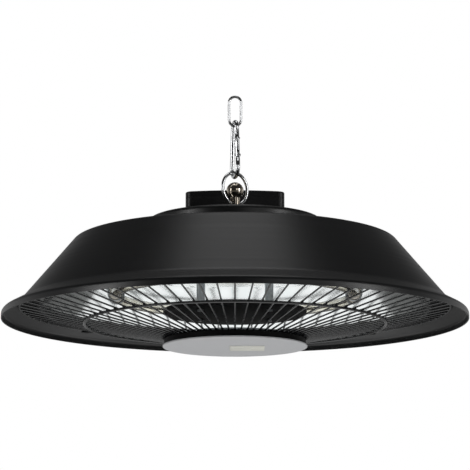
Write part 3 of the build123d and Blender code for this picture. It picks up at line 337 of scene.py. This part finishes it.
FINISHES = {
    "black_shade": satin_black_shade(),
    "black_cap": satin_black_cap(),
    "black_plastic": moulded_black(),
    "chain_steel": plated("bright_nickel_plated_steel", "#cfd0d2", "#eeeff0", 0.08, 0.16),
    "nickel": plated("warm_polished_nickel", "#b9ae9e", "#ddd3c4", 0.07, 0.14),
    "zinc_steel": zinc(),
    "reflector_metal": polished_reflector(),
    "black_enamel": black_enamel(),
    "grille_black": coated_wire(),
    "quartz": quartz(),
    "filament": wound_wire(),
    "ceramic": mottled("unglazed_steatite", "#a9a59b", "#c4c0b6", 0.6, 0.8, 2.0, 0.03),
    "lead_sleeve": mottled("glass_braid_sleeve", "#8d8c86", "#b9b8b1", 0.7, 0.9, 0.9, 0.08),
    "black_rubber": mottled("black_rubber", "#0b0b0b", "#141414", 0.6, 0.8, 1.2, 0.02),
    "terminal_plastic": mottled("cream_nylon", "#c9c6ba", "#d9d7cd", 0.4, 0.6, 1.5, 0.02),
    "board": mottled("green_circuit_board", "#0b3a1c", "#14562b", 0.3, 0.5, 2.5, 0.02),
    "relay_case": mottled("blue_relay_case", "#122a55", "#1a3a70", 0.25, 0.4, 2.0, 0.01),
    "disc_silver": mottled("silver_grey_lacquer", "#b2b3b6", "#b8b9bb", 0.42, 0.52, 1.2, 0.01),
    "plate_pale": mottled("plain_pale_film", "#c6c6bd", "#d0d0c8", 0.35, 0.5, 2.0, 0.005),
}

body_of_node = {name: body_of(node)[0] for name, node in frame["nodes"].items()}
slot_of_node = {entry["node"]: entry["material_slot"] for entry in frame["record"]["subparts"]}
dressed = set()


def pick(*pieces):
    """Selects only these pieces and makes the first one active."""
    bpy.ops.object.select_all(action="DESELECT")
    for piece in pieces:
        piece.select_set(True)
    if pieces:
        bpy.context.view_layer.objects.active = pieces[0]


def place_all():
    """Puts the selected pieces' place, turn and scale into their points."""
    bpy.ops.object.transform_apply(location=True, rotation=True, scale=True)


def rounded(corners):
    """Outline of (radius, height, corner radius), with every corner turned into an arc."""
    outline = []
    for place, (x, y, bend) in enumerate(corners):
        here = Vector((x, y))
        if not bend:
            outline.append(here)
            continue
        back = (Vector(corners[place - 1][:2]) - here).normalized()
        ahead = (Vector(corners[(place + 1) % len(corners)][:2]) - here).normalized()
        half = acos(max(-1, min(1, back.dot(ahead)))) / 2
        centre = here + (back + ahead).normalized() * bend / sin(half)
        start = here + back * bend / tan(half) - centre
        end = here + ahead * bend / tan(half) - centre
        steps = max(3, round((pi - 2 * half) / radians(ARC_STEP)))
        outline += [centre + start.slerp(end, step / steps) * bend for step in range(steps + 1)]
    return outline


def sheet(outline, wall):
    """Closed outline of a sheet: the given line, and the same line one wall inwards."""
    inner = []
    for place, here in enumerate(outline):
        before = (here - outline[place - 1]).normalized() if place else None
        after = (outline[place + 1] - here).normalized() if place + 1 < len(outline) else None
        way = ((before or after) + (after or before)).normalized()
        lean = way.dot(after or before)
        inner.append(here + Vector((-way.y, way.x)) * wall / lean)
    return outline + inner[::-1]


def turned(name, outline):
    """Turns a closed outline of (radius, height) round the heater's axis."""
    points = [Vector((here.x * MM, 0, here.y * MM + brim_level)) for here in outline]
    pick()
    bpy.ops.mesh.primitive_plane_add(size=MM)
    piece = bpy.context.object
    piece.name = name
    bpy.ops.object.mode_set(mode="EDIT")
    bpy.ops.mesh.merge(type="CENTER")
    bpy.ops.transform.translate(value=points[0])
    for start, end in zip(points, points[1:] + points[:1]):
        bpy.ops.mesh.extrude_vertices_move(TRANSFORM_OT_translate={"value": end - start})
    bpy.ops.mesh.select_all(action="SELECT")
    bpy.ops.mesh.remove_doubles(threshold=SAME_PLACE)
    bpy.ops.mesh.spin(steps=ROUND_STEPS, angle=2 * pi, center=(0, 0, 0), axis=(0, 0, 1))
    bpy.ops.mesh.select_all(action="SELECT")
    bpy.ops.mesh.remove_doubles(threshold=SAME_PLACE)
    bpy.ops.mesh.normals_make_consistent(inside=False)
    bpy.ops.object.mode_set(mode="OBJECT")
    bpy.ops.object.shade_smooth_by_angle(angle=radians(SHEET_SMOOTH))
    return piece


def dress(piece, node, replaced=True):
    """Gives a piece its node's material, slot and body, in the node's place."""
    piece.data.materials.clear()
    piece.data.materials.append(FINISHES[slot_of_node[node]])
    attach(piece, body_of_node[node])
    if replaced:
        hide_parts(node)
        dressed.add(node)


def circle_outline(radius, height, size):
    """Round section of a ring."""
    turns = [2 * pi * step / RING_SIDES for step in range(RING_SIDES)]
    return [Vector((radius + size * cos(turn), height + size * sin(turn))) for turn in turns]


def make_shade():
    """Spun sheet with a rolled brim, a flare, a cone and a flat top."""
    flare = BRIM_RADIUS - FLARE_WIDTH
    line = rounded([
        (BRIM_RADIUS, 0, 0),
        (BRIM_RADIUS, BRIM_FACE, BRIM_CORNER),
        (flare, FLARE_HEIGHT, FLARE_BEND),
        (flare - CONE_WIDTH, SHADE_HEIGHT, CONE_TOP_BEND),
        (WIRE_WAY, SHADE_HEIGHT, 0),
    ])
    dress(turned("shade_spun", sheet(line, SHADE_WALL)), "shade")


def make_cap():
    """Pressed cap with a soft edge."""
    low, high = node_box("top_cap")
    radius = high.x / MM
    foot = (low.z - brim_level) / MM
    top = (high.z - brim_level) / MM
    line = rounded([(radius, foot, 0), (radius, top, CAP_CORNER), (0, top, 0)])
    dress(turned("cap_pressed", sheet(line, SHADE_WALL)), "top_cap")


def make_reflector():
    """Polished dish with a rolled lip and a stepped seam."""
    line = rounded([
        (MOUTH_RADIUS + MOUTH_LIP, MOUTH_HEIGHT, 0),
        (MOUTH_RADIUS, MOUTH_HEIGHT, SEAM_STEP),
        (SEAM_RADIUS, SEAM_HEIGHT, SEAM_STEP / 2),
        (SEAM_RADIUS - SEAM_STEP, SEAM_HEIGHT + SEAM_STEP, SEAM_STEP / 2),
        (CEILING_RADIUS, CEILING_HEIGHT, 2 * SEAM_STEP),
        (0, CEILING_HEIGHT, 0),
    ])
    dress(turned("reflector_spun", sheet(line, REFLECTOR_WALL)), "reflector")


def make_plain_disc(name, node, edge):
    """Flat disc with a softened lower and upper edge."""
    low, high = node_box(node)
    radius = high.x / MM
    floor_height = (low.z - brim_level) / MM
    top = (high.z - brim_level) / MM
    outline = rounded([
        (0, floor_height, 0), (radius, floor_height, edge), (radius, top, edge / 2), (0, top, 0),
    ])
    dress(turned(name, outline), node)


def make_pan(name, node, wall, edge):
    """Shallow dish, open at the top, with a rounded lower edge."""
    low, high = node_box(node)
    radius = high.x / MM
    floor_height = (low.z - brim_level) / MM
    top = (high.z - brim_level) / MM
    line = rounded([(0, floor_height, 0), (radius, floor_height, edge), (radius, top, 0)])
    dress(turned(name, sheet(line, wall)), node)


def make_ring(name, node):
    """Round wire ring of the grille."""
    low, high = node_box(node)
    size = (high.z - low.z) / 2 / MM
    height = ((high.z + low.z) / 2 - brim_level) / MM
    dress(turned(name, circle_outline(high.x / MM - size, height, size)), node)


def refine(node):
    """Welded copy of a CAD node, with smooth shading and its real edges kept."""
    pick(frame["nodes"][node])
    bpy.ops.object.duplicate()
    piece = bpy.context.object
    piece.name = node + "_smooth"
    bpy.ops.object.parent_clear(type="CLEAR_KEEP_TRANSFORM")
    place_all()
    for key in list(piece.keys()):
        del piece[key]
    bpy.ops.object.mode_set(mode="EDIT")
    bpy.ops.mesh.select_all(action="SELECT")
    bpy.ops.mesh.remove_doubles(threshold=SAME_PLACE)
    bpy.ops.object.mode_set(mode="OBJECT")
    bpy.ops.object.shade_smooth_by_angle(angle=radians(SOLID_SMOOTH))
    dress(piece, node)


def make_filaments():
    """Wound heating wire along both half rings."""
    data = bpy.data.curves.new("filament_coils", "CURVE")
    data.dimensions = "3D"
    data.bevel_depth = COIL_WIRE * MM
    data.bevel_resolution = 1
    end = END_GAP / TUBE_CIRCLE
    sweep = pi - 2 * end
    turns = round(sweep * TUBE_CIRCLE / COIL_PITCH)
    for half in (0, pi):
        spline = data.splines.new("POLY")
        spline.points.add(turns * COIL_POINTS)
        for step, point in enumerate(spline.points):
            way = half + end + sweep * step / (turns * COIL_POINTS)
            wind = 2 * pi * step / COIL_POINTS
            radius = (TUBE_CIRCLE + COIL_RADIUS * cos(wind)) * MM
            height = brim_level + (TUBE_HEIGHT + COIL_RADIUS * sin(wind)) * MM
            point.co = (radius * cos(way), radius * sin(way), height, 1)
    piece = bpy.data.objects.new("filament_coils", data)
    bpy.context.collection.objects.link(piece)
    pick(piece)
    bpy.ops.object.convert(target="MESH")
    piece = bpy.context.object
    bpy.ops.object.shade_smooth()
    dress(piece, "filaments")


def rod(place, turn, radius, length, sides, rounding):
    """Straight round bar along its own Z, turned into place, with rounded ends."""
    pick()
    bpy.ops.mesh.primitive_cylinder_add(
        vertices=sides, radius=radius * MM, depth=length, location=place, rotation=turn,
    )
    bpy.ops.object.mode_set(mode="EDIT")
    bpy.ops.mesh.select_all(action="SELECT")
    bpy.ops.mesh.bevel(offset=radius * MM * rounding, segments=2, affect="EDGES", clamp_overlap=True)
    bpy.ops.object.mode_set(mode="OBJECT")
    return bpy.context.object


def make_wires():
    """Straight grille wires with rounded ends and a weld at each ring."""
    low, high = node_box("grille_wires")
    mid_low, mid_high = node_box("grille_mid_ring")
    hub_edge = node_box("hub_pan")[1].x
    outer = Vector((high.x, 0, high.z - WIRE_SIZE * MM))
    inner = Vector((hub_edge - WIRE_TAIL * MM, 0, low.z + WIRE_SIZE * MM))
    along = outer - inner
    tilt = along.to_track_quat("Z", "Y").to_euler()
    wire = rod((outer + inner) / 2, tilt, WIRE_SIZE, along.length, WIRE_SIDES, WIRE_ROUNDING)
    parts = [wire]
    ring_radius = mid_high.x - (mid_high.z - mid_low.z) / 2
    share = (ring_radius - inner.x) / along.x
    mid_weld = inner + along * share - Vector((0, 0, WIRE_SIZE * MM))
    outer_weld = outer - along.normalized() * WELD_INSET * MM
    for place in (mid_weld, outer_weld):
        bpy.ops.mesh.primitive_uv_sphere_add(
            segments=WELD_SIDES, ring_count=WELD_ROWS, radius=MM, location=place,
        )
        blob = bpy.context.object
        bpy.ops.object.mode_set(mode="EDIT")
        bpy.ops.mesh.select_all(action="SELECT")
        bpy.ops.transform.resize(value=WELD_SIZE, center_override=place)
        bpy.ops.object.mode_set(mode="OBJECT")
        parts.append(blob)
    pick(*parts)
    bpy.ops.object.join()
    place_all()
    wires = [wire]
    for number in range(1, WIRE_COUNT):
        pick(wire)
        bpy.ops.object.duplicate()
        copy = bpy.context.object
        copy.rotation_euler.z = 2 * pi * number / WIRE_COUNT
        wires.append(copy)
    pick(*wires)
    bpy.ops.object.join()
    place_all()
    wire.name = "radial_wires"
    bpy.ops.object.shade_smooth_by_angle(angle=radians(WIRE_SMOOTH))
    dress(wire, "grille_wires")


def make_latch_pin():
    """Cross pin in the gate's fork that catches the hook's nose."""
    low, high = node_box("carabiner_gate")
    heel_low, heel_high = node_box("gate_rivet")
    heel = (heel_low + heel_high) / 2
    across = Vector((heel_high.x - heel_low.x, heel_high.y - heel_low.y, 0)).normalized()
    centre = (low + high) / 2
    share = (high.z - PIN_DROP * MM - heel.z) / (centre.z - heel.z)
    place = heel + (centre - heel) * share
    turn = across.to_track_quat("Z", "Y").to_euler()
    piece = rod(place, turn, PIN_SIZE, 2 * PIN_REACH * MM, PIN_SIDES, PIN_ROUNDING)
    piece.name = "latch_pin"
    place_all()
    bpy.ops.object.shade_smooth_by_angle(angle=radians(PIN_SMOOTH))
    dress(piece, "carabiner_gate", replaced=False)


make_shade()
make_cap()
make_reflector()
make_plain_disc("disc_pressed", "bottom_disc", DISC_EDGE)
make_pan("hub_pan_pressed", "hub_pan", HUB_WALL, HUB_EDGE)
make_pan("carrier_plate_pressed", "carrier_plate", CARRIER_WALL, CARRIER_EDGE)
make_ring("outer_ring_wire", "grille_outer_ring")
make_ring("mid_ring_wire", "grille_mid_ring")
make_filaments()
make_wires()
make_latch_pin()
for entry in frame["record"]["subparts"]:
    if entry["node"] not in dressed:
        refine(entry["node"])


# Camera at the photograph's view: below the brim, looking up
camera_data = bpy.data.cameras.new("camera")
camera = bpy.data.objects.new("camera", camera_data)
bpy.context.collection.objects.link(camera)
camera.location = (0.0, -CAMERA_DISTANCE, brim_level - CAMERA_DROP)
camera.rotation_euler = (radians(90 + CAMERA_PITCH), 0.0, 0.0)
camera_data.sensor_fit = "HORIZONTAL"
camera_data.angle = 2 * atan(FRAME_PIXELS / 2 / FOCAL_PIXELS)
camera_data.clip_end = 50.0
bpy.context.scene.camera = camera

# Studio: pale floor well below, a white surround and soft lamps
floor_level = brim_level - FLOOR_DROP
pick()
bpy.ops.mesh.primitive_plane_add(size=FLOOR_SIZE, location=(0, 0, floor_level))
floor = bpy.context.object
floor.name = "studio_floor"
floor_material, floor_tree, floor_shader = finish("pale_floor", "#e9e9e7", 0.8)
floor_shader.inputs["Specular IOR Level"].default_value = 0.1
floor_shader.inputs["Emission Color"].default_value = linear("#e9e9e7")
direct = add(floor_tree, "ShaderNodeLightPath").outputs["Is Camera Ray"]
lift = add(floor_tree, "ShaderNodeMath", {"operation": "MULTIPLY"}, i0=direct, i1=FLOOR_LIFT)
floor_tree.links.new(lift.outputs[0], floor_shader.inputs["Emission Strength"])
floor.data.materials.append(floor_material)

world = bpy.data.worlds.new("studio")
bpy.context.scene.world = world
world.use_nodes = True
sky = world.node_tree
sky.nodes.clear()
way = add(sky, "ShaderNodeTexCoord").outputs["Generated"]
axes = add(sky, "ShaderNodeSeparateXYZ", None, Vector=way)
behind = add(sky, "ShaderNodeMapRange", {"interpolation_type": "SMOOTHSTEP"}, Value=axes.outputs["Y"],
             **{"From Min": -0.1, "From Max": 0.55, "To Min": 0.0, "To Max": 1.0})
low = add(sky, "ShaderNodeMapRange", {"interpolation_type": "SMOOTHSTEP"}, Value=axes.outputs["Z"],
          **{"From Min": 0.12, "From Max": 0.55, "To Min": 1.0, "To Max": 0.1})
seen = add(sky, "ShaderNodeMath", {"operation": "MULTIPLY"}, i0=behind.outputs[0], i1=low.outputs[0])
mirror = add(sky, "ShaderNodeMapRange", None, Value=seen.outputs[0],
             **{"To Min": MIRRORED_FRONT, "To Max": MIRRORED_BACK})
path = add(sky, "ShaderNodeLightPath")
shiny = add(sky, "ShaderNodeMath", {"operation": "MAXIMUM"}, i0=path.outputs["Is Glossy Ray"],
            i1=path.outputs["Is Transmission Ray"])
fill = add(sky, "ShaderNodeBackground", None, Color=linear("#ffffff"), Strength=FILL_LIGHT)
gloss = add(sky, "ShaderNodeBackground", None, Color=linear("#ffffff"), Strength=mirror.outputs[0])
plain = add(sky, "ShaderNodeBackground", None, Color=linear("#ffffff"), Strength=1.0)
soft = add(sky, "ShaderNodeMixShader", None, i0=shiny.outputs[0], i1=fill.outputs[0], i2=gloss.outputs[0])
final = add(sky, "ShaderNodeMixShader", None, i0=path.outputs["Is Camera Ray"], i1=soft.outputs[0],
            i2=plain.outputs[0])
add(sky, "ShaderNodeOutputWorld", None, Surface=final.outputs[0])


def lamp(name, place, aim, size, power):
    """A soft lamp at a place, turned to a point."""
    data = bpy.data.lights.new(name, "AREA")
    data.shape = "RECTANGLE"
    data.size, data.size_y = size
    data.energy = power
    piece = bpy.data.objects.new(name, data)
    bpy.context.collection.objects.link(piece)
    piece.location = place
    piece.rotation_euler = (aim - Vector(place)).to_track_quat("-Z", "Y").to_euler()


heart = Vector((0, 0, brim_level + HEART_HEIGHT))
lamp("top_softbox", (0.0, 0.05, heart.z + 1.3), heart, (0.75, 0.8), 2.4)
lamp("front_softbox", (0.9, -1.9, heart.z + 0.5), heart, (0.8, 0.8), 2.0)
lamp("floor_bounce", (0.0, 0.0, floor_level + 0.02), heart, (1.8, 1.8), 9.0)
for side in (-1, 1):
    lamp("side_strip", (side * 1.25, -0.7, 0.1), STRIP_AIM, (0.3, 0.8), 5.0)

bpy.context.scene.view_settings.view_transform = "Standard"
